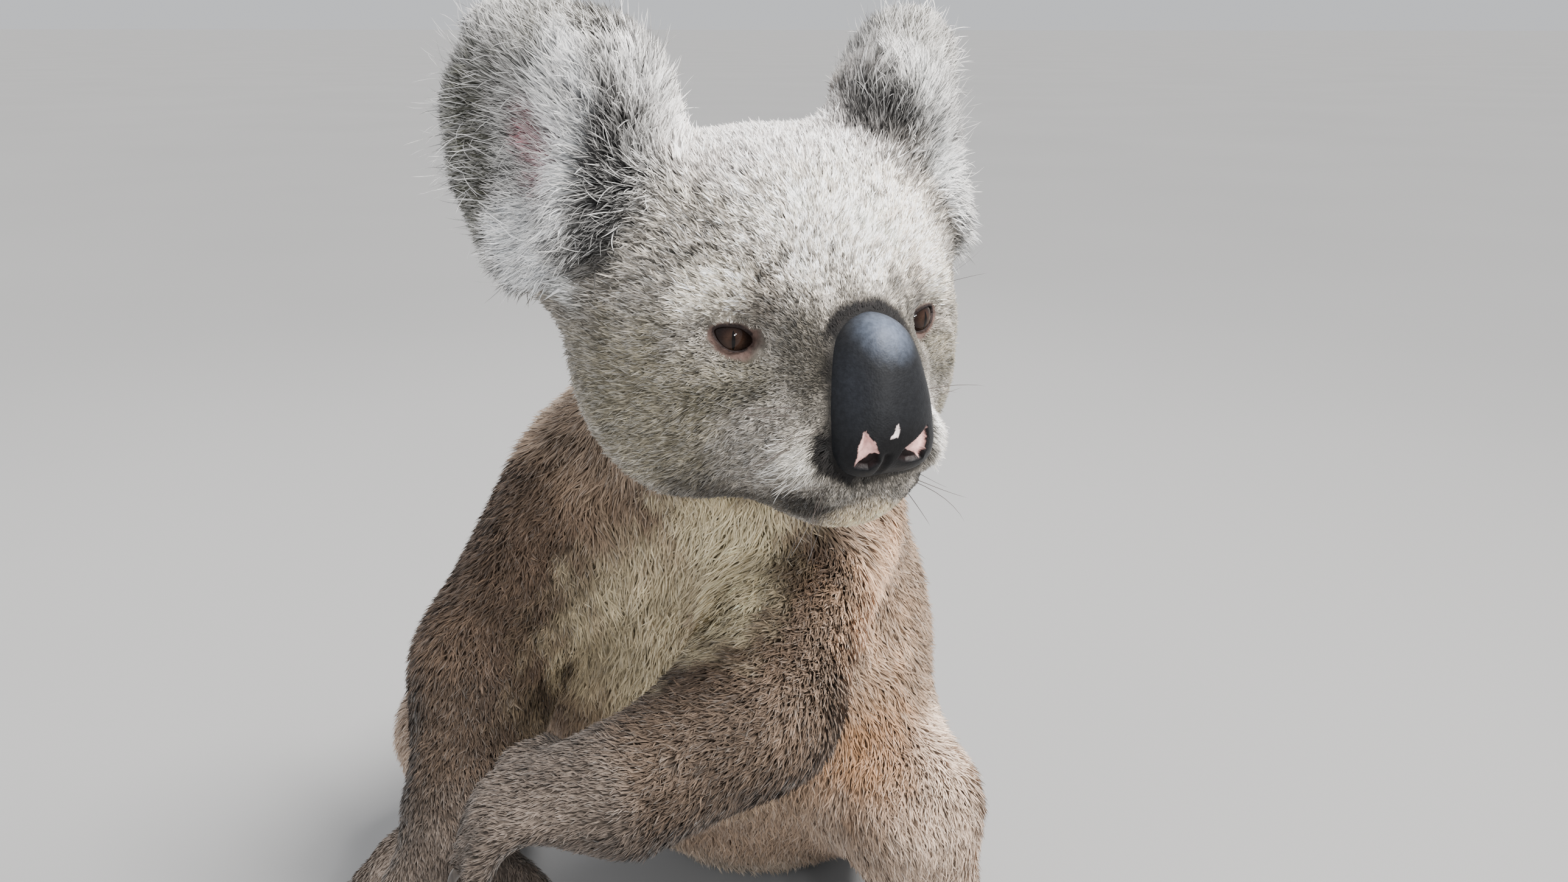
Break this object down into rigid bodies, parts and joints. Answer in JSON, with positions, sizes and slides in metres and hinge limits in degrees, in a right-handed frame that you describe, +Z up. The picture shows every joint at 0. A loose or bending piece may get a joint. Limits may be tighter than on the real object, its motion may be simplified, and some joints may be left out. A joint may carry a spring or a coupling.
{
  "type": "koala figure",
  "caption": "Life-size seated koala, knees splayed, forearms reaching forward, head turned to its left",
  "frame": {"origin": "on the floor, at the middle of the box that bounds the animal", "axes": "+Z up; the body faces -Y and its left side is at +X"},
  "size_m": [0.3564, 0.36, 0.453],
  "materials": {
    "coat": "dense grey fur, cream on the chest, white at the ears",
    "nose": "charcoal, leathery",
    "eye": "dark brown, wet",
    "claw": "dark horn"
  },
  "bodies": {
    "root": {"trunk": "coat", "neck": "coat", "tail": "coat", "head": "coat", "ear_left": "coat", "upper_arm_left": "coat", "forearm_left": "coat", "hand_left": "coat", "leg_left": "coat", "foot_left": "coat", "ear_right": "coat", "upper_arm_right": "coat", "forearm_right": "coat", "hand_right": "coat", "leg_right": "coat", "foot_right": "coat", "nose": "nose", "eye_left": "eye", "eye_right": "eye", "claw_hand_left_1": "claw", "claw_hand_left_2": "claw", "claw_hand_left_3": "claw", "claw_hand_left_4": "claw", "claw_hand_left_5": "claw", "claw_hand_right_1": "claw", "claw_hand_right_2": "claw", "claw_hand_right_3": "claw", "claw_hand_right_4": "claw", "claw_hand_right_5": "claw", "claw_foot_left_2": "claw", "claw_foot_left_3": "claw", "claw_foot_left_4": "claw", "claw_foot_left_5": "claw", "claw_foot_right_2": "claw", "claw_foot_right_3": "claw", "claw_foot_right_4": "claw", "claw_foot_right_5": "claw"}
  },
  "joints": []
}
